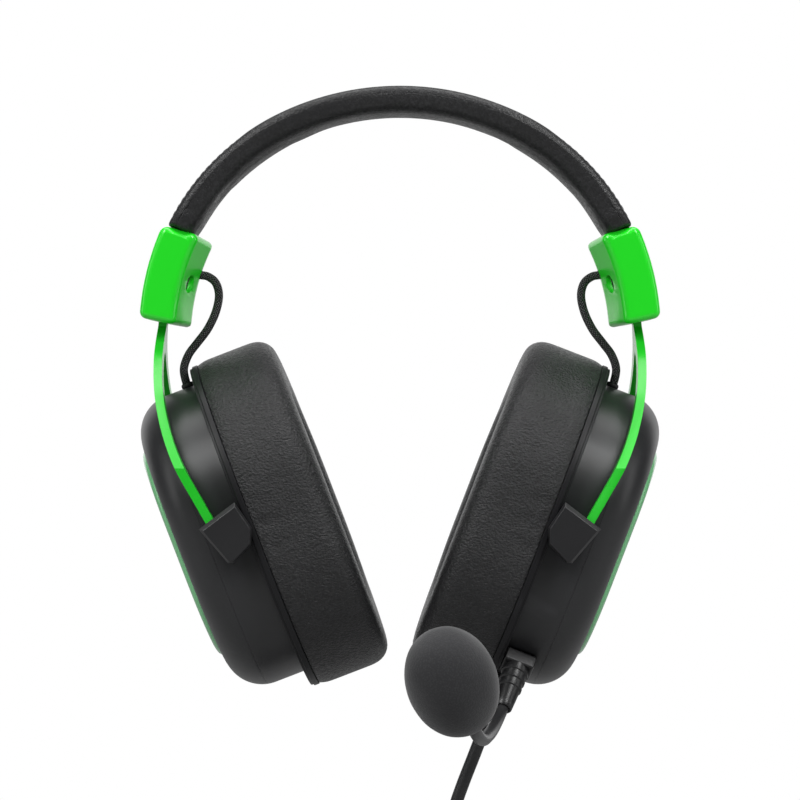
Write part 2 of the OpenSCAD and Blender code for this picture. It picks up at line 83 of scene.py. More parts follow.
# Half of the block's section as (radius, y), inner ridge first
BLOCK_OUTLINE = ((67.1, 0), (72.2, 17), (77.2, 17), (84.1, 17))
SCREW_ANGLE = 14.6
SCREW_Y = 8.5
SCREW_SEAT_R = 71.7
CUT_R = 60.0
BRIDGE_ANGLE = 17.8
STEM_FOOT = (76.3, 0, -65.8)
STEM_LEAN = math.radians(6)
YOKE_T = 2.7
STEM_HALF_W = 4.5
CUP_LEAN = math.radians(21.1)
CUP_ORIGIN = (45.65, 0, -130.67)
HALF_STRAIGHT = 10.0
PAD_R = 45.0
PAD_HOLE_R = 24.0
PAD_T = 25.5
PLATE_R = 25.2
PLATE_RIM = 2.6
PLATE_X = (24.7, 25.2, 27.0)
PIVOT = (53.65, -132.15)
# Pivot cap's outline about the pivot, and how far the front face steps in from each edge
# that starts there
CAP_OUTLINE = (
    (-1.9, 9.6, 1.25), (9.2, 1.2, 0.7), (0.1, -9.4, 0.6),
    (-1.8, -9.3, 0.6), (-7.1, -3.7, 0.5), (-7.3, 1.6, 0.6),
)
CAP_INNER = ((-1.75, 9), (8.8, 1.15), (0.1, -9), (-1.6, -8.9), (-4.7, -5.7), (-5, 0.8))
CAP_Y = (40.0, 45.4, 45.4, 48.4, 49.5)
MIC_ANGLE = math.asin(0.6)
MIC_X = 8.0
FOAM_PLACE = (15.3, -130, -173.7)
FOAM_TURN = (38.5, -20)
FOAM_D = 27.4
FOAM_L = 36.6
NECK_D = 4.0
NECK_ROUTE = (
    (34.4, -31.8, -182.4), (33.3, -34, -185.2), (32.1, -36.4, -187.9), (30.2, -43, -191.5),
    (28.4, -53, -193.8), (26.8, -65, -194.6), (25.5, -80, -194.3), (24.1, -95, -192.8),
    (22.7, -107, -190.2), (21.1, -116.5, -186.2), (19, -123, -181.2),
)
BRIDGE_D = 2.7
BRIDGE_ROUTE = (
    (68.4, 0, -49), (66.4, 0, -49.7), (64.4, 0, -50.3), (61.9, 0, -50.8), (59.4, 0, -52.9),
    (58.4, 0, -57), (59.5, 0, -62.4), (62.1, 0, -67.8), (65.4, 0, -72.2), (68.2, 0, -76),
    (69.7, 0, -80.4), (69.1, 0, -84.4), (67.9, 0, -87.5),
)
# Share of its length at which a bridge lead changes from its upper to its lower piece
BRIDGE_SPLIT = 0.32
LEAD_D = 4.2
LEAD_ROUTE = (
    (30.9, 0, -187), (29, 0, -192), (27.3, 0, -196.4), (25.5, 0, -201), (23.7, 0, -205.7), (21.8, 0, -210.5),
    (20, 0, -215.2), (18.3, 0, -220), (16.8, 0, -224.5), (15.6, 0, -229), (14.7, 0, -233.5), (14.2, 0, -238),
)
TAIL_ROUTE = (
    (15.4, 5.6, -247.6), (18, 6.5, -252), (20.4, 6.9, -256),
    (22.6, 7, -260.5), (24, 7, -265), (24.5, 7, -270),
)
# In metres
RELIEF_X = 6.5
RELIEF_TIP = 63.2
COIL_PLACE = (-9.5, 0, -258)
COIL_R = 23.0
PLUG_TOP = (24.5, 7, -270)
FLOOR_Z = CAD_BOX[0].z - 0.012
FLOOR_HALF = 8
# Edges steeper than this stay sharp, in degrees
SHARP_ANGLE = 38

CAMERA_PLACE = (0, -1.5, -0.0906)
CAMERA_LENS = 209.25
CAMERA_SENSOR = 36
LIGHT_TARGET = (0, 0, -0.12)
WHITE = (1, 1, 1, 1)
FLOOR_GREY = (0.35, 0.35, 0.35, 1)
AMBIENT_COLOUR = (0.97, 0.985, 1, 1)
AMBIENT_STRENGTH = 0.12


# ---- Camera, stage and lights ----

def look_at(place, target):
    return (Vector(target) - Vector(place)).to_track_quat("-Z", "Y").to_euler()


def make_camera():
    data = bpy.data.cameras.new("camera")
    data.lens = CAMERA_LENS
    data.sensor_width = CAMERA_SENSOR
    data.clip_end = 60
    camera = bpy.data.objects.new("camera", data)
    camera.location = CAMERA_PLACE
    camera.rotation_euler = (math.radians(90), 0, 0)
    bpy.context.scene.collection.objects.link(camera)
    bpy.context.scene.camera = camera


def area_light(name, place, size, power):
    data = bpy.data.lights.new(name, "AREA")
    data.shape = "RECTANGLE"
    data.size, data.size_y = size
    data.energy = power
    light = bpy.data.objects.new(name, data)
    light.location = place
    light.rotation_euler = look_at(place, LIGHT_TARGET)
    light.visible_camera = False
    bpy.context.scene.collection.objects.link(light)


def backdrop_white(tree, lit, seen, output):
    """The stage shows plain white to the camera, and gives the object the light of lit."""
    camera_ray = tree.nodes.new("ShaderNodeLightPath").outputs["Is Camera Ray"]
    mix = tree.nodes.new("ShaderNodeMixShader")
    out = tree.nodes.new(output)
    tree.links.new(camera_ray, mix.inputs[0])
    tree.links.new(lit.outputs[0], mix.inputs[1])
    tree.links.new(seen.outputs[0], mix.inputs[2])
    tree.links.new(mix.outputs[0], out.inputs[0])


def make_world():
    world = bpy.data.worlds.new("studio")
    bpy.context.scene.world = world
    world.use_nodes = True
    tree = world.node_tree
    tree.nodes.clear()
    ambient = tree.nodes.new("ShaderNodeBackground")
    ambient.inputs["Color"].default_value = AMBIENT_COLOUR
    ambient.inputs["Strength"].default_value = AMBIENT_STRENGTH
    seen = tree.nodes.new("ShaderNodeBackground")
    seen.inputs["Color"].default_value = WHITE
    seen.inputs["Strength"].default_value = 1.0
    backdrop_white(tree, ambient, seen, "ShaderNodeOutputWorld")


def make_floor():
    material = bpy.data.materials.new("floor_white")
    material.use_nodes = True
    tree = material.node_tree
    tree.nodes.clear()
    matt = tree.nodes.new("ShaderNodeBsdfDiffuse")
    matt.inputs["Color"].default_value = FLOOR_GREY
    seen = tree.nodes.new("ShaderNodeEmission")
    seen.inputs["Color"].default_value = WHITE
    backdrop_white(tree, matt, seen, "ShaderNodeOutputMaterial")
    mesh = bpy.data.meshes.new("floor")
    corners = [(x * FLOOR_HALF, y * FLOOR_HALF, FLOOR_Z) for x, y in ((-1, -1), (1, -1), (1, 1), (-1, 1))]
    mesh.from_pydata(corners, [], [(0, 1, 2, 3)])
    mesh.materials.append(material)
    floor = bpy.data.objects.new("floor", mesh)
    bpy.context.scene.collection.objects.link(floor)


def make_lights():
    for name, side in SIDES:
        area_light("key_light_" + name, (0.85 * side, -1.05, 0.95), size=(0.6, 0.8), power=15)
        area_light("side_light_" + name, (1.5 * side, -0.3, -0.05), size=(0.4, 1.2), power=3.5)
    area_light("top_light", (0, 0.05, 1.4), size=(1.7, 0.9), power=20)
    area_light("backdrop_light", (0, 2.2, 0), size=(4, 3), power=34)


# ---- Materials ----

class Shader:
    """One Principled material, its nodes added by short calls."""

    def __init__(self, name, colour, roughness, metallic=0.0, **fixed):
        self.material = bpy.data.materials.new(name)
        self.material.use_nodes = True
        self.tree = self.material.node_tree
        self.bsdf = self.tree.nodes["Principled BSDF"]
        self.bsdf.inputs["Base Color"].default_value = (*colour, 1)
        self.bsdf.inputs["Roughness"].default_value = roughness
        self.bsdf.inputs["Metallic"].default_value = metallic
        for socket, value in fixed.items():
            self.bsdf.inputs[socket.replace("_", " ")].default_value = value
        self.material.diffuse_color = (*colour, 1)
        self.height = None

    def node(self, kind, settings=(), **inputs):
        made = self.tree.nodes.new("ShaderNode" + kind)
        for name, value in dict(settings).items():
            setattr(made, name, value)
        for name, value in inputs.items():
            key = int(name[1:]) if name[1:].isdigit() else name.replace("_", " ")
            self.put(value, made.inputs[key])
        return made

    def put(self, value, socket):
        if isinstance(value, bpy.types.NodeSocket):
            self.tree.links.new(value, socket)
        else:
            socket.default_value = value

    def place(self, scale=(1, 1, 1), turn=(0, 0, 0)):
        coords = self.node("TexCoord").outputs["Object"]
        return self.node("Mapping", Vector=coords, Scale=scale, Rotation=turn).outputs[0]

    def maths(self, operation, a, b=0.0):
        return self.node("Math", {"operation": operation}, _0=a, _1=b).outputs[0]

    def ranged(self, value, low, high, start=0.0, end=1.0):
        made = self.node("MapRange", Value=value, To_Min=low, To_Max=high, From_Min=start, From_Max=end)
        return made.outputs["Result"]

    def noise(self, vector, scale, detail=3.0, rough=0.55):
        made = self.node("TexNoise", Vector=vector, Scale=scale, Detail=detail, Roughness=rough)
        return made.outputs["Fac"]

    def cells(self, vector, scale):
        return self.node("TexVoronoi", {"feature": "F1"}, Vector=vector, Scale=scale).outputs["Distance"]

    def colour_between(self, value, low, high):
        made = self.node("Mix", {"data_type": "RGBA"})
        self.put(value, made.inputs["Factor"])
        made.inputs["A"].default_value = (*low, 1)
        made.inputs["B"].default_value = (*high, 1)
        self.tree.links.new(made.outputs["Result"], self.bsdf.inputs["Base Color"])

    def roughness_from(self, value):
        self.tree.links.new(value, self.bsdf.inputs["Roughness"])

    def bump(self, value, distance, strength=1.0):
        made = self.node("Bump", Height=value, Distance=distance, Strength=strength)
        if self.height is not None:
            self.tree.links.new(self.height, made.inputs["Normal"])
        self.height = made.outputs["Normal"]
        self.tree.links.new(self.height, self.bsdf.inputs["Normal"])

    def edge_wear(self):
        """1 on convex edges, 0 on flat faces."""
        point = self.node("NewGeometry").outputs["Pointiness"]
        return self.ranged(point, 0.0, 1.0, 0.52, 0.62)


def moulded_plastic(name, colour, worn, roughness, spread, grain, **fixed):
    """Moulded or painted surface: fine grain, slow changes in gloss, and edges worn a little lighter."""
    s = Shader(name, colour, roughness, **fixed)
    slow = s.noise(s.place(), 45, 2)
    fine = s.noise(s.place(), 3200, 2)
    s.colour_between(s.maths("MULTIPLY", s.edge_wear(), s.ranged(slow, 0.2, 0.75)), colour, worn)
    s.roughness_from(s.ranged(slow, roughness - spread, roughness + spread, 0.1, 0.9))
    s.bump(fine, grain)
    return s.material


def leatherette(name, colour, light, turn, stretch, roughness, depth):
    """Embossed grain drawn out one way, with pores between the folds and a slow mottling. The grain's raised
    folds are painted in the lighter colour light, a painted highlight on their tops.
    """
    s = Shader(name, colour, roughness, Specular_IOR_Level=0.42)
    where = s.place(stretch, turn)
    folds = s.noise(where, 1.0, 4, 0.6)
    pores = s.cells(s.place((1, 1, 1), turn), 1250)
    slow = s.noise(s.place(), 38, 2)
    # Painted highlight: the tops of the folds are painted towards the lighter colour, scaled by the slow
    # mottling
    painted_fold_highlight = s.ranged(folds, 0.0, 1.0, 0.42, 0.64)
    s.colour_between(s.maths("MULTIPLY", painted_fold_highlight, s.ranged(slow, 0.35, 1.0, 0.3, 0.7)), colour, light)
    s.roughness_from(s.ranged(folds, roughness + 0.1, roughness - 0.08, 0.35, 0.7))
    s.bump(folds, depth)
    s.bump(pores, depth * 0.35)
    return s.material


def braid(name):
    """Two sets of strands crossing round a lead, painted pale grey on the strands' tops as a painted
    highlight and near black in the gaps as painted shade. It needs the tube's own UV map.
    """
    strands = 4.5 * math.tau
    s = Shader(name, (0.012, 0.012, 0.013), 0.62, Specular_IOR_Level=0.35, Sheen_Weight=0.15)
    parts = s.node("SeparateXYZ", Vector=s.node("UVMap").outputs[0])
    around = s.maths("MULTIPLY", parts.outputs[0], strands)
    along = s.maths("MULTIPLY", parts.outputs[1], strands)
    one = s.maths("SINE", s.maths("ADD", around, along))
    two = s.maths("SINE", s.maths("SUBTRACT", around, along))
    weave = s.maths("MULTIPLY", s.maths("ADD", s.maths("ABSOLUTE", one), s.maths("ABSOLUTE", two)), 0.5)
    # Painted highlight on the strands' tops and painted shade in the gaps between them
    s.colour_between(s.ranged(weave, 0, 1, 0.66, 0.94), (0.001, 0.001, 0.001), (0.17, 0.17, 0.175))
    s.roughness_from(s.ranged(s.noise(s.place(), 900), 0.42, 0.65))
    s.bump(weave, 0.0012)
    return s.material


def foam_skin(name):
    s = Shader(
        name, (0.03, 0.03, 0.032), 0.95, Specular_IOR_Level=0.2, Sheen_Weight=0.25, Sheen_Roughness=0.5)
    cell = s.cells(s.place(), 1500)
    fine = s.noise(s.place(), 2600, 3)
    s.colour_between(s.ranged(cell, 0, 1, 0.05, 0.6), (0.038, 0.038, 0.04), (0.028, 0.028, 0.03))
    s.roughness_from(s.ranged(fine, 0.86, 1.0))
    s.bump(cell, 0.00005, 0.8)
    s.bump(fine, 0.00005)
    return s.material


def cable_skin(name, colour=(0.009, 0.009, 0.0095), roughness=0.42):
    s = Shader(name, colour, roughness, Specular_IOR_Level=0.45)
    slow = s.noise(s.place(), 60, 2)
    fine = s.noise(s.place(), 1800, 3)
    light = tuple(c * 1.7 for c in colour)
    s.colour_between(s.ranged(slow, 0, 1, 0.3, 0.75), colour, light)
    s.roughness_from(s.ranged(fine, roughness - 0.07, roughness + 0.1))
    s.bump(fine, 0.00004)
    return s.material


def woven_cloth(name):
    """Open warp and weft, one thread about every 0.5 mm."""
    pitch = 12000.0
    s = Shader(name, (0.01, 0.01, 0.01), 0.85, Specular_IOR_Level=0.25, Sheen_Weight=0.2)
    parts = s.node("SeparateXYZ", Vector=s.place())
    warp = s.maths("SINE", s.maths("MULTIPLY", parts.outputs[1], pitch))
    weft = s.maths("SINE", s.maths("MULTIPLY", parts.outputs[2], pitch))
    weave = s.maths("MULTIPLY", warp, weft)
    s.colour_between(s.ranged(weave, 0, 1, -1, 1), (0.003, 0.003, 0.003), (0.03, 0.03, 0.031))
    s.roughness_from(s.ranged(s.noise(s.place(), 700), 0.75, 0.95))
    s.bump(weave, 0.0001)
    return s.material


def turned_metal(name, colour, dark, roughness):
    s = Shader(name, colour, roughness, metallic=1.0)
    streak = s.noise(s.place((200, 200, 5000)), 1.0, 3)
    s.colour_between(s.ranged(streak, 0, 1, 0.3, 0.7), dark, colour)
    s.roughness_from(s.ranged(streak, roughness - 0.08, roughness + 0.12))
    s.bump(streak, 0.00001)
    return s.material


def make_materials():
    # Each moulded_plastic: colour, colour of worn edges, roughness and its spread, depth of grain
    made = {
        "block_green": moulded_plastic(
            "block_green", (0.01, 0.73, 0.012), (0.06, 0.85, 0.07), 0.3, 0.04, 0.000004,
            Specular_IOR_Level=0.5, Coat_Weight=0.5, Coat_Roughness=0.16),
        "yoke_green": moulded_plastic(
            "yoke_green", (0.008, 0.5, 0.012), (0.05, 0.7, 0.06), 0.27, 0.04, 0.000004,
            Specular_IOR_Level=0.55),
        "plate_green": moulded_plastic(
            "plate_green", (0.015, 0.6, 0.025), (0.08, 0.75, 0.1), 0.3, 0.05, 0.000006),
        # Painted sheen: the plate's rim is a paler green that stands in for the white it reflects at a
        # grazing angle
        "plate_rim_painted_sheen": moulded_plastic(
            "plate_rim_painted_sheen", (0.17, 0.5, 0.22), (0.36, 0.75, 0.41), 0.24, 0.04, 0.000004,
            Coat_Weight=0.6, Coat_Roughness=0.1),
        "soft_black": moulded_plastic(
            "soft_black", (0.0125, 0.0128, 0.0142), (0.03, 0.03, 0.033), 0.38, 0.05, 0.000018,
            Specular_IOR_Level=0.55),
        "smooth_black": moulded_plastic(
            "smooth_black", (0.012, 0.012, 0.013), (0.035, 0.035, 0.038), 0.36, 0.05, 0.00001),
        # Black plastic, painted darker than the other blacks as painted shade of the groove between pad and
        # housing
        "flange_black_painted_shade": moulded_plastic(
            "flange_black_painted_shade", (0.007, 0.007, 0.008), (0.02, 0.02, 0.022), 0.45, 0.04, 0.00001,
            Specular_IOR_Level=0.25),
        "mic_black": moulded_plastic(
            "mic_black", (0.006, 0.006, 0.0065), (0.03, 0.03, 0.032), 0.34, 0.05, 0.00001),
        # band_leather's second colour is the painted highlight on the grain's raised folds
        "band_leather": leatherette(
            "band_leather", (0.01, 0.01, 0.0105), (0.026, 0.026, 0.0275), (0, 0, 0),
            (900, 900, 900), 0.38, 0.0002),
        "braid": braid("braid"),
        "thread": cable_skin("thread", (0.02, 0.02, 0.021), 0.6),
        "neck": cable_skin("neck", (0.016, 0.016, 0.017), 0.4),
        "foam": foam_skin("foam"),
        "cable": cable_skin("cable"),
        "boot": cable_skin("boot", (0.013, 0.013, 0.0135), 0.4),
        "tie": cable_skin("tie", (0.02, 0.02, 0.021), 0.7),
        "scrim": woven_cloth("scrim"),
        "steel": turned_metal("steel", (0.6, 0.61, 0.62), (0.4, 0.41, 0.42), 0.3),
        "black_steel": turned_metal("black_steel", (0.06, 0.06, 0.065), (0.03, 0.03, 0.032), 0.35),
        "gold": turned_metal("gold", (0.86, 0.68, 0.34), (0.72, 0.55, 0.25), 0.22),
        "cone": woven_cloth("cone"),
    }
    for name, side in SIDES:
        # The pads' second colour is the painted highlight on the grain's raised folds
        made["pad_leather_" + name] = leatherette(
            "pad_leather_" + name, (0.008, 0.008, 0.0085), (0.026, 0.026, 0.0275),
            (0, side * CUP_LEAN, 0), (900, 900, 1900), 0.38, 0.0005)
    return made


# ---- Meshes ----

def cup_body(side):
    return "cup_left" if side > 0 else "cup_right"


def yoke_body(side):
    return "yoke_left" if side > 0 else "yoke_right"


def cup_point(x, y, z, side):
    """A point of the left cup's own frame, x outwards from the baffle's front and z up along the cup."""
    return (
        side * (CUP_ORIGIN[0] + x * math.cos(CUP_LEAN) + z * math.sin(CUP_LEAN)),
        y,
        CUP_ORIGIN[2] - x * math.sin(CUP_LEAN) + z * math.cos(CUP_LEAN),
    )


def mic_point(a, b, along, side=1):
    """A point about the microphone's plug axis, along being the distance from the centre of the
    cup's lower arc."""
    y = b * math.cos(MIC_ANGLE) - along * math.sin(MIC_ANGLE)
    z = -HALF_STRAIGHT - along * math.cos(MIC_ANGLE) - b * math.sin(MIC_ANGLE)
    return cup_point(MIC_X + a, y, z, side)


def band_point(r, angle, y, side=1):
    a = math.radians(angle)
    return (side * r * math.cos(a), y, -BAND_R + r * math.sin(a))


def add_object(name, mesh, material, smooth_angle):
    mesh.materials.clear()
    mesh.materials.append(material)
    mesh.shade_smooth()
    if smooth_angle is not None:
        mesh.set_sharp_from_angle(angle=math.radians(smooth_angle))
    made = bpy.data.objects.new(name, mesh)
    bpy.context.scene.collection.objects.link(made)
    return made


def new_mesh(name, points, faces):
    mesh = bpy.data.meshes.new(name)
    mesh.from_pydata([[c * MM for c in p] for p in points], [], faces)
    return mesh


def faced_out(mesh):
    bm = bmesh.new()
    bm.from_mesh(mesh)
    bmesh.ops.recalc_face_normals(bm, faces=bm.faces)
    bm.to_mesh(mesh)
    bm.free()
    return mesh


def mesh_piece(name, points, faces, material, smooth_angle=40):
    return add_object(name, faced_out(new_mesh(name, points, faces)), material, smooth_angle)


def loft(rings, closed_path=False, caps=True):
    """Points and faces of a skin over rings that each hold the same number of points."""
    count = len(rings[0])
    points = [p for r in rings for p in r]
    faces = []
    steps = len(rings) if closed_path else len(rings) - 1
    for i in range(steps):
        a, b = i * count, ((i + 1) % len(rings)) * count
        for k in range(count):
            n = (k + 1) % count
            faces.append((a + k, a + n, b + n, b + k))
    if caps and not closed_path:
        faces.append(tuple(range(count)))
        faces.append(tuple((len(rings) - 1) * count + k for k in range(count)))
    return points, faces


def add_loft(points, faces, rings):
    """Adds one more closed skin to the points and faces of a piece."""
    base = len(points)
    more_points, more_faces = loft(rings)
    points += more_points
    faces += [tuple(base + q for q in face) for face in more_faces]


def finish_edges(made):
    """Shades a hard piece smooth up to its sharp edges."""
    made.data.shade_smooth()
    made.data.set_sharp_from_angle(angle=math.radians(SHARP_ANGLE))
    normals = made.modifiers.new("normals", "WEIGHTED_NORMAL")
    normals.keep_sharp = True
    normals.weight = 60


def apply_modifiers(made):
    graph = bpy.context.evaluated_depsgraph_get()
    mesh = bpy.data.meshes.new_from_object(made.evaluated_get(graph))
    made.modifiers.clear()
    made.data = mesh


def bevelled(made, radius, segments, angle=30, keep=None):
    """Rounds the sharp edges of a piece. keep picks the edges by their middle point, in millimetres."""
    bm = bmesh.new()
    bm.from_mesh(made.data)
    sharp = [e for e in bm.edges if e.is_manifold and e.calc_face_angle(0) > math.radians(angle)]
    if keep is not None:
        sharp = [e for e in sharp if keep((e.verts[0].co + e.verts[1].co) / 2 / MM)]
    bmesh.ops.bevel(
        bm, geom=sharp, offset=radius * MM, offset_type="OFFSET", segments=segments, profile=0.5,
        affect="EDGES", clamp_overlap=True)
    bm.to_mesh(made.data)
    bm.free()
    finish_edges(made)


def softened(node, name, radius, material, keep=None):
    """A copy of a hard CAD node with its edges rounded, which stands for it."""
    mesh = bpy.data.meshes.new(name)
    bm = bmesh.new()
    bm.from_mesh(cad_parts[node].data)
    bmesh.ops.remove_doubles(bm, verts=bm.verts, dist=2e-6)
    bmesh.ops.dissolve_limit(bm, angle_limit=math.radians(0.5), verts=bm.verts, edges=bm.edges)
    bm.to_mesh(mesh)
    bm.free()
    made = add_object(name, mesh, material, 30)
    bevelled(made, radius, segments=2, keep=keep)
    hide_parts(node)
    return made


def cut_away(made, cutters):
    """Takes the cutters' space out of a piece, and removes them."""
    for i, cutter in enumerate(cutters):
        cut = made.modifiers.new(f"cut{i}", "BOOLEAN")
        cut.operation = "DIFFERENCE"
        cut.solver = "EXACT"
        cut.object = cutter
    bpy.context.view_layer.update()
    apply_modifiers(made)
    for cutter in cutters:
        bpy.data.objects.remove(cutter)


def ring_about(centre, u, v, r, sides):
    return [
        centre + u * (r * math.cos(math.tau * k / sides)) + v * (r * math.sin(math.tau * k / sides))
        for k in range(sides)
    ]


def frame_of(direction):
    """The given direction at unit length, and two directions square to it."""
    along = Vector(direction).normalized()
    side = along.cross(Vector((0, 1, 0)))
    if side.length < 0.1:
        side = along.cross(Vector((1, 0, 0)))
    side.normalize()
    return along, side, along.cross(side).normalized()


def rod(name, start, direction, outline, material, sides=48, angle=40):
    """Solid of revolution: outline is (distance along, radius) pairs from the start point."""
    along, u, v = frame_of(direction)
    rings = []
    for distance, r in outline:
        rings.append(ring_about(Vector(start) + along * distance, u, v, r, sides))
    points, faces = loft(rings)
    return mesh_piece(name, points, faces, material, angle)


def smooth_route(points, steps):
    """Catmull-Rom curve through the points."""
    p = [Vector(q) for q in points]
    held = lambda i: p[max(0, min(len(p) - 1, i))]
    line = []
    for i in range(len(p) - 1):
        a, b, c, d = held(i - 1), held(i), held(i + 1), held(i + 2)
        for k in range(steps):
            t = k / steps
            line.append(0.5 * (2 * b + (c - a) * t + (2 * a - 5 * b + 4 * c - d) * t * t
                               + (3 * b - a - 3 * c + d) * t ** 3))
    line.append(p[-1])
    return line


def distances(line):
    """How far each point lies along the line."""
    along = [0.0]
    for a, b in zip(line, line[1:]):
        along.append(along[-1] + (b - a).length)
    return along


def resampled(line, step):
    """The same curve with points about step apart."""
    along = distances(line)
    count = max(2, round(along[-1] / step) + 1)
    at = np.linspace(0, along[-1], count)
    columns = [np.interp(at, along, [p[k] for p in line]) for k in range(3)]
    return [Vector(q) for q in zip(*columns)]


def tube(name, line, radius, material, sides=24, across=(0, 1, 0)):
    """A tube along a line with a UV map: u once round it, v in lengths of its own girth."""
    along = distances(line)
    rings = []
    for i, centre in enumerate(line):
        direction = (line[min(i + 1, len(line) - 1)] - line[max(i - 1, 0)]).normalized()
        u = Vector(across).cross(direction).normalized()
        v = direction.cross(u)
        rings.append(ring_about(centre, u, v, radius, sides))
    mesh = new_mesh(name, *loft(rings))
    girth = math.tau * radius
    uv = mesh.uv_layers.new(name="UVMap")
    for face in mesh.polygons:
        ks = [mesh.loops[j].vertex_index % sides for j in face.loop_indices]
        wraps = max(ks) - min(ks) > sides / 2
        for j, k in zip(face.loop_indices, ks):
            ring = mesh.loops[j].vertex_index // sides
            uv.data[j].uv = ((k + sides if wraps and k < sides / 2 else k) / sides, along[ring] / girth)
    return add_object(name, mesh, material, 60)


# ---- The main lead, its coil and its plug ----

def ease(share):
    share = max(0.0, min(1.0, share))
    return share * share * (3 - 2 * share)


def coil_points():
    """Eight turns round a bundle three turns wide and three deep, its middle left open.
    Near the end of each turn the lead moves over to the next place in the bundle."""
    slots = [(1, 0), (1, -1), (0, -1), (-1, -1), (-1, 0), (-1, 1), (0, 1), (1, 1)]
    first = 24.0
    last = 360 * len(slots) - 14.0
    move_starts, move_length = 73.0, 55.0
    points = []
    for turned in np.arange(0, last, 360 / 24):
        at = sum(ease((turned - 360 * k + move_starts) / move_length) for k in range(1, len(slots)))
        low = min(int(at), len(slots) - 2)
        out, over = (p + (q - p) * (at - low) for p, q in zip(slots[low], slots[low + 1]))
        angle = math.radians(first - turned)
        r = COIL_R + LEAD_D * out
        points.append((
            COIL_PLACE[0] + r * math.cos(angle),
            COIL_PLACE[1] + LEAD_D * over,
            COIL_PLACE[2] + r * math.sin(angle),
        ))
    return points


def cord_curve(name, points, diameter, material):
    data = bpy.data.curves.new(name, "CURVE")
    data.dimensions = "3D"
    data.resolution_u = 5
    data.bevel_depth = diameter / 2 * MM
    data.bevel_resolution = 5
    data.use_fill_caps = True
    spline = data.splines.new("BEZIER")
    spline.bezier_points.add(len(points) - 1)
    for knot, p in zip(spline.bezier_points, points):
        knot.co = [c * MM for c in p]
        knot.handle_left_type = knot.handle_right_type = "AUTO"
    data.materials.append(material)
    made = bpy.data.objects.new(name, data)
    bpy.context.scene.collection.objects.link(made)
    return made


def make_lead(look):
    points = [*LEAD_ROUTE, *coil_points(), *TAIL_ROUTE]
    lead = cord_curve("main_lead", points, LEAD_D, look["cable"])
    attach(lead, "cup_left")
    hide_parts("lead", "lead_coil", "lead_tail")
    plug = rod("plug_grip", PLUG_TOP, (0, 0, -1), plug_outline(), look["boot"])
    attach(plug, "cup_left")
    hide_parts("plug_body")
    tie = make_tie(look)


def plug_outline():
    """A tapered bend guard with ribs, then a grip with a waist and a collar."""
    outline = [(-1, 2.35), (-0.6, 2.7)]
    for k in range(4):
        start = 0.2 + 1.8 * k
        outline += [(start, 2.75 + 0.22 * k), (start + 0.25, 3.0 + 0.2 * k), (start + 0.95, 3.05 + 0.2 * k),
                    (start + 1.2, 2.85 + 0.22 * k)]
    outline += [(8, 3.7), (8.5, 4.05), (9.2, 4.2), (13, 4.15), (16, 3.95), (19, 4.1),
                (23.2, 4.2), (23.8, 4.05), (24.1, 3.5), (25.7, 3.4), (26, 3.1)]
    return outline


def make_tie(look):
    """A hook and loop strap round the top of the coil."""
    half = 6.3
    flat = half - 2.0
    corner = 2.75
    section = []
    for cx, cy, a0 in ((1, 1, 0), (-1, 1, 90), (-1, -1, 180), (1, -1, 270)):
        for k in range(6):
            a = math.radians(a0 + 18 * k)
            section.append((cx * flat + corner * math.cos(a), cy * flat + corner * math.sin(a)))
    rings = []
    first_angle, strap_angle = 79, 22
    for k, grow in ((0, -0.5), (0.04, 0), (0.5, 0.12), (0.96, 0), (1, -0.5)):
        angle = math.radians(first_angle + strap_angle * k)
        rings.append([
            (COIL_PLACE[0] + (COIL_R + a * (1 + grow / half)) * math.cos(angle),
             COIL_PLACE[1] + b * (1 + grow / half),
             COIL_PLACE[2] + (COIL_R + a * (1 + grow / half)) * math.sin(angle))
            for a, b in section
        ])
    points, faces = loft(rings)
    tie = mesh_piece("coil_strap", points, faces, look["tie"], 35)
    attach(tie, "cup_left")
    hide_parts("coil_tie")
    return tie


# ---- Padded pieces ----

def puffed(made, cap, pressure, pinned, frames=18):
    """Blows a closed skin out like foam under leatherette, and moves no point further than cap
    millimetres."""
    rest = np.array([v.co for v in made.data.vertices])
    cloth = made.modifiers.new("cloth", "CLOTH")
    cloth.settings.quality = 6
    cloth.settings.mass = 0.25
    cloth.settings.tension_stiffness = 18
    cloth.settings.compression_stiffness = 18
    cloth.settings.shear_stiffness = 8
    cloth.settings.bending_stiffness = 0.6
    cloth.settings.use_pressure = True
    cloth.settings.uniform_pressure_force = pressure
    cloth.settings.effector_weights.gravity = 0
    cloth.settings.shrink_min = -0.02
    cloth.point_cache.frame_start = 1
    cloth.point_cache.frame_end = frames
    group = made.vertex_groups.new(name="sewn")
    group.add(pinned, 1.0, "REPLACE")
    cloth.settings.vertex_group_mass = "sewn"
    scene = bpy.context.scene
    for i in range(1, frames + 1):
        scene.frame_set(i)
    graph = bpy.context.evaluated_depsgraph_get()
    blown = made.evaluated_get(graph).data
    moved = np.array([v.co for v in blown.vertices]) - rest
    made.modifiers.remove(cloth)
    scene.frame_set(1)
    far = np.linalg.norm(moved, axis=1)
    limit = cap * MM
    # A soft cap: small moves stay as they are and large ones close in on the limit
    kept = limit * np.tanh(far / limit)
    moved *= (kept / np.maximum(far, 1e-12))[:, None]
    made.data.vertices.foreach_set("co", (rest + moved).astype(np.float32).ravel())
    made.data.update()


def subdivided(made):
    smooth = made.modifiers.new("smooth", "SUBSURF")
    smooth.levels = smooth.render_levels = 1
    apply_modifiers(made)
    made.data.shade_smooth()


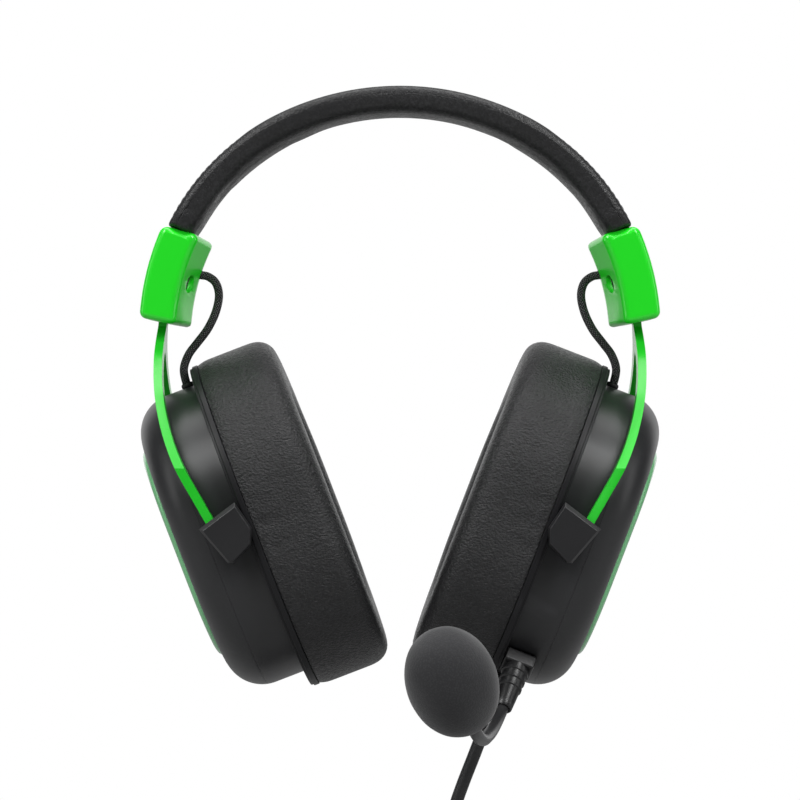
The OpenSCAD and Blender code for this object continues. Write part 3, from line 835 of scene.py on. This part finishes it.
def rounded_box(width, height, corners, step):
    """Closed outline round a rectangle from (0, 0) to (width, height), its four corner radii given
    from the origin anticlockwise."""
    places = ((0, 0, 180), (width, 0, 270), (width, height, 0), (0, height, 90))
    line = []
    for (x, y, start), r in zip(places, corners):
        cx = x + r if x == 0 else x - r
        cy = y + r if y == 0 else y - r
        count = max(3, round(r * math.pi / 2 / step) + 1)
        for k in range(count):
            a = math.radians(start + 90 * k / (count - 1))
            line.append((cx + r * math.cos(a), cy + r * math.sin(a)))
    outline = []
    for here, there in zip(line, line[1:] + line[:1]):
        length = math.dist(here, there)
        count = max(1, round(length / step))
        for k in range(count):
            outline.append(tuple(p + (q - p) * k / count for p, q in zip(here, there)))
    return outline


def padding_point(r, share, y):
    """A point of the headband's padding, r its radius at the crown and share 0 to 1 along it."""
    crown_end = 90 - CROWN_HALF_ANGLE
    turn = PADDING_END + (180 - 2 * PADDING_END) * share
    a = math.radians(turn)
    side = -1 if turn > 90 else 1
    if crown_end <= turn <= 180 - crown_end:
        centre, length = (0, -CROWN_DROP), r + CROWN_DROP
    else:
        half = math.radians(CROWN_HALF_ANGLE)
        centre = (side * ARC_STEP * math.sin(half), ARC_STEP * math.cos(half) - CROWN_DROP)
        length = r + CROWN_DROP - ARC_STEP
    return (centre[0] + length * math.cos(a), y, centre[1] - BAND_R + length * math.sin(a))


def band_piece(name, node, section, look, cap):
    """A padded piece along the band, tucked in narrower where it goes into the blocks."""
    steps = 84
    narrowing, end_share = 0.09, 0.035
    rings = []
    for i in range(steps + 1):
        share = i / steps
        tuck = 1 - narrowing * (1 - ease(min(share, 1 - share) / end_share))
        rings.append([padding_point(r, share, y * tuck) for r, y in section])
    points, faces = loft(rings)
    made = mesh_piece(name, points, faces, look["band_leather"], None)
    count = len(section)
    ends = [*range(2 * count), *range((steps - 1) * count, (steps + 1) * count)]
    puffed(made, cap, pressure=3.0, pinned=ends)
    subdivided(made)
    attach(made, "headband")
    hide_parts(node)


def crowned(section, middle, low, rise):
    """Pulls the underside of a band section in towards its edges, so that it crowns in the middle."""
    return [
        (r + rise * (1 - (r - low) / (middle - low)) * (y / BAND_HALF_W) ** 2 if r < middle else r, y)
        for r, y in section
    ]


def make_headband(look):
    inset = 0.3
    low, top = BAND_R + inset, BAND_R + BAND_T - inset - 0.1
    seam = BAND_R + BAND_T - COVER_T
    half = BAND_HALF_W - inset
    outline = rounded_box(seam - low, 2 * half, corners=(4.4, 0.4, 0.4, 4.4), step=1.5)
    section = crowned([(low + a, b - half) for a, b in outline], seam, low, rise=0.9)
    band_piece("band_cushion", "headband_cushion", section, look, cap=0.4)
    tucked = 0.4
    outline = rounded_box(top - seam + tucked, 2 * half, corners=(0.3, 2.3, 2.3, 0.3), step=1.0)
    section = [(seam - tucked + a, b - half) for a, b in outline]
    band_piece("band_cover", "headband_cover", section, look, cap=0.2)
    stitch_y = 12.6
    for name, y in (("front", -stitch_y), ("back", stitch_y)):
        line = [padding_point(top - 0.08, share, y) for share in np.linspace(0.02, 0.98, 600)]
        stitches("band_stitches_" + name, line, look, pitch=2.6, radius=0.16)


def stitches(name, line, look, pitch, radius):
    """A row of short threads laid along a line, each a small rod that narrows at its ends."""
    line = resampled([Vector(p) for p in line], pitch / 6)
    points, faces = [], []
    for first in range(0, len(line) - 5, 6):
        part = line[first:first + 5]
        rings = []
        for i, centre in enumerate(part):
            direction = (part[min(i + 1, 4)] - part[max(i - 1, 0)]).normalized()
            u = Vector((0, 1, 0)).cross(direction)
            if u.length < 0.2:
                u = Vector((1, 0, 0)).cross(direction)
            u.normalize()
            v = direction.cross(u)
            rings.append(ring_about(centre, u, v, radius * (0.45 if i in (0, 4) else 1), 6))
        add_loft(points, faces, rings)
    made = mesh_piece(name, points, faces, look["thread"], 60)
    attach(made, "headband")


def stadium_path(arc_steps=52, straight_steps=9):
    """(height of the arc's centre, y part, z part) of the outward direction, round the stadium once."""
    path = []
    for centre, start in ((HALF_STRAIGHT, 0), (-HALF_STRAIGHT, 180)):
        for k in range(arc_steps):
            a = math.radians(start + 180 * k / arc_steps)
            path.append((centre, math.cos(a), math.sin(a)))
        sign = -1 if start == 0 else 1
        for k in range(straight_steps):
            path.append((centre - 2 * centre * k / straight_steps, sign, 0.0))
    return path


def make_plate(name, side, look):
    """Flat plate let into the shell's outer face, with a rim rolled over in a quarter round and painted in a
    paler green as a painted sheen.
    """
    back, low, top = PLATE_X
    profile = [(PLATE_R - 0.1, back)]
    rim_steps = 8
    for k in range(rim_steps + 1):
        a = math.pi / 2 * k / rim_steps
        profile.append((PLATE_R - PLATE_RIM * (1 - math.cos(a)), low + (top - low) * math.sin(a)))
    flat_r = PLATE_R - PLATE_RIM
    profile += [(flat_r * share, top) for share in np.linspace(0.97, 0.1, 12)]
    path = stadium_path()
    rings = [[cup_point(x, ny * r, centre + nz * r, side) for centre, ny, nz in path] for r, x in profile]
    points, faces = loft(rings)
    made = mesh_piece("outer_plate_" + name, points, faces, look["plate_green"], 50)
    made.data.materials.append(look["plate_rim_painted_sheen"])
    outwards = (Vector(cup_point(1, 0, 0, side)) - Vector(cup_point(0, 0, 0, side))).normalized()
    # Faces that don't face straight out take the rim's paler green, the painted sheen
    for face in made.data.polygons:
        face.material_index = 0 if face.normal.dot(outwards) > 0.99 else 1
    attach(made, cup_body(side))
    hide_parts("side_plate_" + name)


def make_ear_pad(name, side, look):
    """Leatherette skin sewn to the flange, blown out over its foam."""
    inset = 0.15
    width = PAD_R - PAD_HOLE_R - 2 * inset
    outline = rounded_box(PAD_T - inset, width, corners=(0.5, 5.2, 6.6, 0.5), step=2.4)
    outline = [(PAD_HOLE_R + inset + b, -a) for a, b in outline]
    path = stadium_path()
    rings = [[cup_point(x, ny * r, centre + nz * r, side) for r, x in outline] for centre, ny, nz in path]
    points, faces = loft(rings, closed_path=True)
    made = mesh_piece("ear_pad_skin_" + name, points, faces, look["pad_leather_" + name], None)
    sewn_x = -0.6
    sewn = [i * len(outline) + k for i in range(len(rings)) for k, (_, x) in enumerate(outline) if x > sewn_x]
    puffed(made, cap=0.75, pressure=4.0, pinned=sewn)
    subdivided(made)
    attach(made, cup_body(side))
    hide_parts("ear_pad_" + name)


def make_scrim(name, side, look):
    """Thin cloth stretched over the driver's opening and tucked under the pad's inner edge."""
    out, rings = PAD_HOLE_R + 0.1, 12
    edge_x, dome = -0.95, 1.1
    points, faces = [], []
    path = stadium_path(40, 6)
    for i in range(rings):
        r = out * (1 - i / rings)
        x = edge_x - dome * (1 - (r / out) ** 2)
        points += [cup_point(x, ny * r, centre + nz * r, side) for centre, ny, nz in path]
    count = len(path)
    for i in range(rings - 1):
        for k in range(count):
            n = (k + 1) % count
            faces.append((i * count + k, i * count + n, (i + 1) * count + n, (i + 1) * count + k))
    faces.append(tuple((rings - 1) * count + k for k in range(count)))
    made = mesh_piece("driver_scrim_" + name, points, faces, look["scrim"], None)
    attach(made, cup_body(side))
    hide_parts("pad_scrim_" + name)


# ---- Blocks and yokes ----

def box_piece(name, corner, size, place):
    """A box in a part's own frame, place turning its corners into points of the CAD frame."""
    points = [place(corner[0] + size[0] * i, corner[1] + size[1] * j, corner[2] + size[2] * k)
              for i in (0, 1) for j in (0, 1) for k in (0, 1)]
    faces = [(0, 1, 3, 2), (4, 6, 7, 5), (0, 4, 5, 1), (2, 3, 7, 6), (0, 2, 6, 4), (1, 5, 7, 3)]
    made = bpy.data.objects.new(name, faced_out(new_mesh(name, points, faces)))
    bpy.context.scene.collection.objects.link(made)
    return made


def stem_point(x, y, z, side):
    """A point of the left stem's frame, z up along the stem and x outwards."""
    c, s = math.cos(STEM_LEAN), math.sin(STEM_LEAN)
    return (side * (STEM_FOOT[0] + x * c - z * s), y, STEM_FOOT[2] + x * s + z * c)


def make_block(name, side, look):
    """The slider block, both halves closed up, with its screw seats, lead hole and stem slot."""
    outline = [(r, -y) for r, y in BLOCK_OUTLINE] + [(r, y) for r, y in reversed(BLOCK_OUTLINE[1:])]
    inner, _, shoulder, outer = (r for r, _ in BLOCK_OUTLINE)
    steps = 10
    foot_narrowing = 0.6
    rings = []
    for k in range(steps + 1):
        ring = []
        for r, y in outline:
            # The ends lean: the foot rises outwards, and the top falls away past the shoulder
            low = BLOCK_LOW_ANGLE + BLOCK_END_LEAN * (r - inner) / (outer - inner)
            top = BLOCK_TOP_ANGLE - BLOCK_END_LEAN * max(0, r - shoulder) / (outer - shoulder)
            narrowing = foot_narrowing * (1 - k / steps) if r == outer else 0
            ring.append(band_point(r - narrowing, low + (top - low) * k / steps, y, side))
        rings.append(ring)
    points, faces = loft(rings)
    made = mesh_piece("slider_block_" + name, points, faces, look["block_green"], 30)
    bevelled(made, radius=2.0, segments=6, angle=22)
    radial = lambda angle: (side * math.cos(math.radians(angle)), 0, math.sin(math.radians(angle)))
    slot_gap, slot_foot, slot_length = 0.3, -6, 35.5
    slot = (YOKE_T + slot_gap, 2 * STEM_HALF_W + slot_gap, slot_length)
    corner = (-slot[0] / 2, -slot[1] / 2, slot_foot)
    cutters = [box_piece("slot", corner, slot, lambda x, y, z: stem_point(x, y, z, side))]
    seat_r, hole_r, hole_depth = 3, BRIDGE_D / 2 + 0.25, 14
    holes = [("seat", y, SCREW_ANGLE, SCREW_SEAT_R - CUT_R, seat_r) for y in (-SCREW_Y, SCREW_Y)]
    holes.append(("hole", 0, BRIDGE_ANGLE, hole_depth, hole_r))
    for kind, y, angle, depth, r in holes:
        start = band_point(CUT_R, angle, y, side)
        cutters.append(rod(kind, start, radial(angle), [(0, r), (depth, r)], look["block_green"]))
    cut_away(made, cutters)
    finish_edges(made)
    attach(made, "headband")
    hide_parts("block_inner_" + name, "block_outer_" + name)


def inset_outline(corners):
    """Moves each edge of a closed outline inwards by the third number of the corner it starts from."""
    count = len(corners)
    centre = Vector((sum(c[0] for c in corners) / count, sum(c[1] for c in corners) / count))
    lines = []
    for here, there in zip(corners, corners[1:] + corners[:1]):
        a, b = Vector(here[:2]), Vector(there[:2])
        normal = Vector((a.y - b.y, b.x - a.x)).normalized()
        if normal.dot(centre - a) < 0:
            normal = -normal
        lines.append((a + normal * here[2], b - a))
    moved = []
    for (a, u), (b, v) in zip(lines[-1:] + lines[:-1], lines):
        t = ((b - a).x * v.y - (b - a).y * v.x) / (u.x * v.y - u.y * v.x)
        moved.append(tuple(a + u * t))
    return moved


def make_yoke(name, side, look):
    body = yoke_body(side)
    block_foot_z = -62
    yoke = softened(
        "yoke_" + name, "wishbone_" + name, radius=0.4, material=look["yoke_green"],
        keep=lambda p: p.z < block_foot_z)
    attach(yoke, body)
    full = [c[:2] for c in CAP_OUTLINE]
    shapes = (CAP_INNER, CAP_INNER, full, full, inset_outline(CAP_OUTLINE))
    points, faces = [], []
    for y_sign in (-1, 1):
        add_loft(points, faces, [
            [(side * (PIVOT[0] + x), y_sign * y, PIVOT[1] + z) for x, z in shape]
            for shape, y in zip(shapes, CAP_Y)
        ])
    caps = mesh_piece("pivot_covers_" + name, points, faces, look["smooth_black"], 30)
    bevelled(caps, radius=0.45, segments=3, angle=20)
    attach(caps, body)
    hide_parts("pivot_caps_" + name)


# ---- Cups ----

def make_cup(name, side, look):
    body = cup_body(side)
    hard = (
        ("cup_housing_", "cup_wall_", 0.22, "soft_black"),
        ("cup_shell_", "cup_cover_", 0.22, "soft_black"),
        ("baffle_", "pad_flange_", 0.25, "flange_black_painted_shade"),
    )
    for node, piece, radius, material in hard:
        made = softened(node + name, piece + name, radius, look[material])
        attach(made, body)
    make_plate(name, side, look)
    make_ear_pad(name, side, look)
    make_scrim(name, side, look)
    collar_x, collar_z = 5.2, HALF_STRAIGHT + 39.4 - 3
    along = Vector(cup_point(0, 0, 1, side)) - Vector(cup_point(0, 0, 0, side))
    hole = BRIDGE_D / 2 + 0.2
    outline = [(0, hole), (0, 1.9), (3, 1.9), (3.3, 2.05), (3.7, 2.05), (4.05, 1.95), (4.3, 1.8),
               (4.4, 1.65), (4.3, hole), (0.3, hole)]
    start = cup_point(collar_x, 0, collar_z, side)
    collar = rod("lead_collar_" + name, start, along, outline, look["boot"])
    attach(collar, body)
    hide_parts("bridge_grommet_" + name)


def make_bridge_lead(name, side, look):
    """Two lengths that meet in the loop: the upper one bends from the band to the yoke, the lower
    one on to the cup."""
    route = [(side * x, y, z) for x, y, z in BRIDGE_ROUTE]
    line = resampled(smooth_route(route, steps=8), step=0.5)
    split = round(len(line) * BRIDGE_SPLIT)
    metres = lambda p: tuple(c * MM for c in p)
    upper = tube("bridge_lead_upper_" + name, line[:split + 1], BRIDGE_D / 2, look["braid"])
    lower = tube("bridge_lead_lower_" + name, line[split:], BRIDGE_D / 2, look["braid"])
    for piece in (upper, lower):
        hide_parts("bridge_cable_" + name)
    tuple(metres(line[8]))
    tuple(metres(line[split]))
    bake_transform(upper)
    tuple(metres(line[split]))
    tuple(metres(line[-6]))
    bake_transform(lower)


# ---- Microphone ----

def make_microphone(look):
    start = Vector(mic_point(0, 0, 0))
    along = Vector(mic_point(0, 0, 1)) - start
    base = box_piece("mic_boot_base", corner=(-5, -4.2, 39.7), size=(10, 8.4, 4.6), place=mic_point)
    base.data.materials.append(look["mic_black"])
    bevelled(base, radius=0.7, segments=3)
    outline = [(0, 3.9), (0.2, 4.15)]
    for k in range(3):
        z = 2.0 + 2.9 * k
        low = 4.0 - 0.22 * k
        outline += [(z, low), (z + 0.25, low + 0.38), (z + 1.15, low + 0.34), (z + 1.45, low - 0.08)]
    outline += [(10.6, 3.4), (14.5, 3.1), (16.4, 2.95), (16.75, 2.7), (16.7, 2.25), (9, 2.25)]
    sleeve_foot = 43.3
    cone = rod("mic_boot_sleeve", mic_point(0, 0, sleeve_foot), along, outline, look["mic_black"])
    for piece in (base, cone):
        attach(piece, "mic_plug")
        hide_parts("mic_boot")
    line = resampled(smooth_route(NECK_ROUTE, steps=8), step=0.9)
    neck = tube("mic_gooseneck", line, NECK_D / 2, look["neck"], sides=28, across=(1, 0, 0))
    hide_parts("gooseneck")
    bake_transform(neck)
    make_foam(look)


def make_foam(look):
    """Moulded foam windscreen, a little fuller towards its front, with a lipped hole for the neck."""
    about_x, about_y = (math.radians(angle) for angle in FOAM_TURN)
    turn = Matrix.Rotation(about_y, 3, "Y") @ Matrix.Rotation(about_x, 3, "X")
    half, r_max = FOAM_L / 2, FOAM_D / 2
    outline = [(-half + 3.5, 2.1), (-half + 1.0, 2.2), (-half + 0.35, 2.7)]
    steps, fullness, neck_lip_r = 44, 0.88, 3.2
    for k in range(1, steps):
        a = math.pi * k / steps
        z = -half * math.cos(a)
        r = r_max * math.sin(a) ** fullness
        if r > neck_lip_r:
            outline.append((z, min(r_max, r)))
    outline.append((half - 0.05, 1.2))
    outline.append((half, 0.3))
    sides, dent, dent_scale = 72, 0.012, 0.16
    rings = []
    for z, r in outline:
        ring = []
        for k in range(sides):
            a = math.tau * k / sides
            p = Vector((r * math.cos(a), r * math.sin(a), z))
            p *= 1 - dent * (0.5 + 0.5 * noise.noise(p * dent_scale))
            ring.append(turn @ p + Vector(FOAM_PLACE))
        rings.append(ring)
    points, faces = loft(rings)
    foam = mesh_piece("foam_windscreen", points, faces, look["foam"], None)
    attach(foam, "mic_boom")
    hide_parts("mic_foam")


def make_strain_relief(look):
    start = Vector(cup_point(RELIEF_X, 0, -RELIEF_TIP, 1))
    along = Vector(cup_point(0, 0, 1, 1)) - Vector(cup_point(0, 0, 0, 1))
    outline = [(0.25, LEAD_D / 2 + 0.2), (0, 2.6), (0.2, 2.9)]
    for k in range(4):
        z = 1.6 + 2.4 * k
        low = 2.95 + 0.13 * k
        outline += [(z, low), (z + 0.2, low + 0.35), (z + 0.95, low + 0.38), (z + 1.2, low + 0.04)]
    outline += [(11.6, 3.5), (13.4, 3.7), (18, 3.7), (18.4, 3.2)]
    relief = rod("lead_bend_guard", start, along, outline, look["boot"])
    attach(relief, "cup_left")
    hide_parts("lead_strain_relief")


def dress(look):
    """Gives the carried-over CAD nodes their materials."""
    by_name = {
        "headband_spring": "steel", "slide_detent": "steel", "pivot_pins": "steel", "driver_magnet": "steel",
        "block_screws": "black_steel", "cup_screws": "black_steel", "driver_diaphragm": "cone",
        "driver_frame": "smooth_black", "mic_socket": "smooth_black", "mic_capsule": "smooth_black",
        "mic_jack_pin": "gold", "plug_pin": "gold",
    }
    for node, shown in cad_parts.items():
        if shown.hide_render:
            continue
        base = node[:-2] if node[-2:] in ("_l", "_r") else node
        material = look[by_name[base]]
        shown.data.materials.clear()
        shown.data.materials.append(material)
        shown.data.shade_smooth()
        shown.data.set_sharp_from_angle(angle=math.radians(30))


make_camera()
make_world()
make_floor()
make_lights()
bpy.context.scene.view_settings.view_transform = "Standard"
LOOK = make_materials()
make_lead(LOOK)
make_strain_relief(LOOK)
make_headband(LOOK)
for NAME, SIDE in SIDES:
    make_block(NAME, SIDE, LOOK)
    make_yoke(NAME, SIDE, LOOK)
    make_cup(NAME, SIDE, LOOK)
    make_bridge_lead(NAME, SIDE, LOOK)
make_microphone(LOOK)
dress(LOOK)
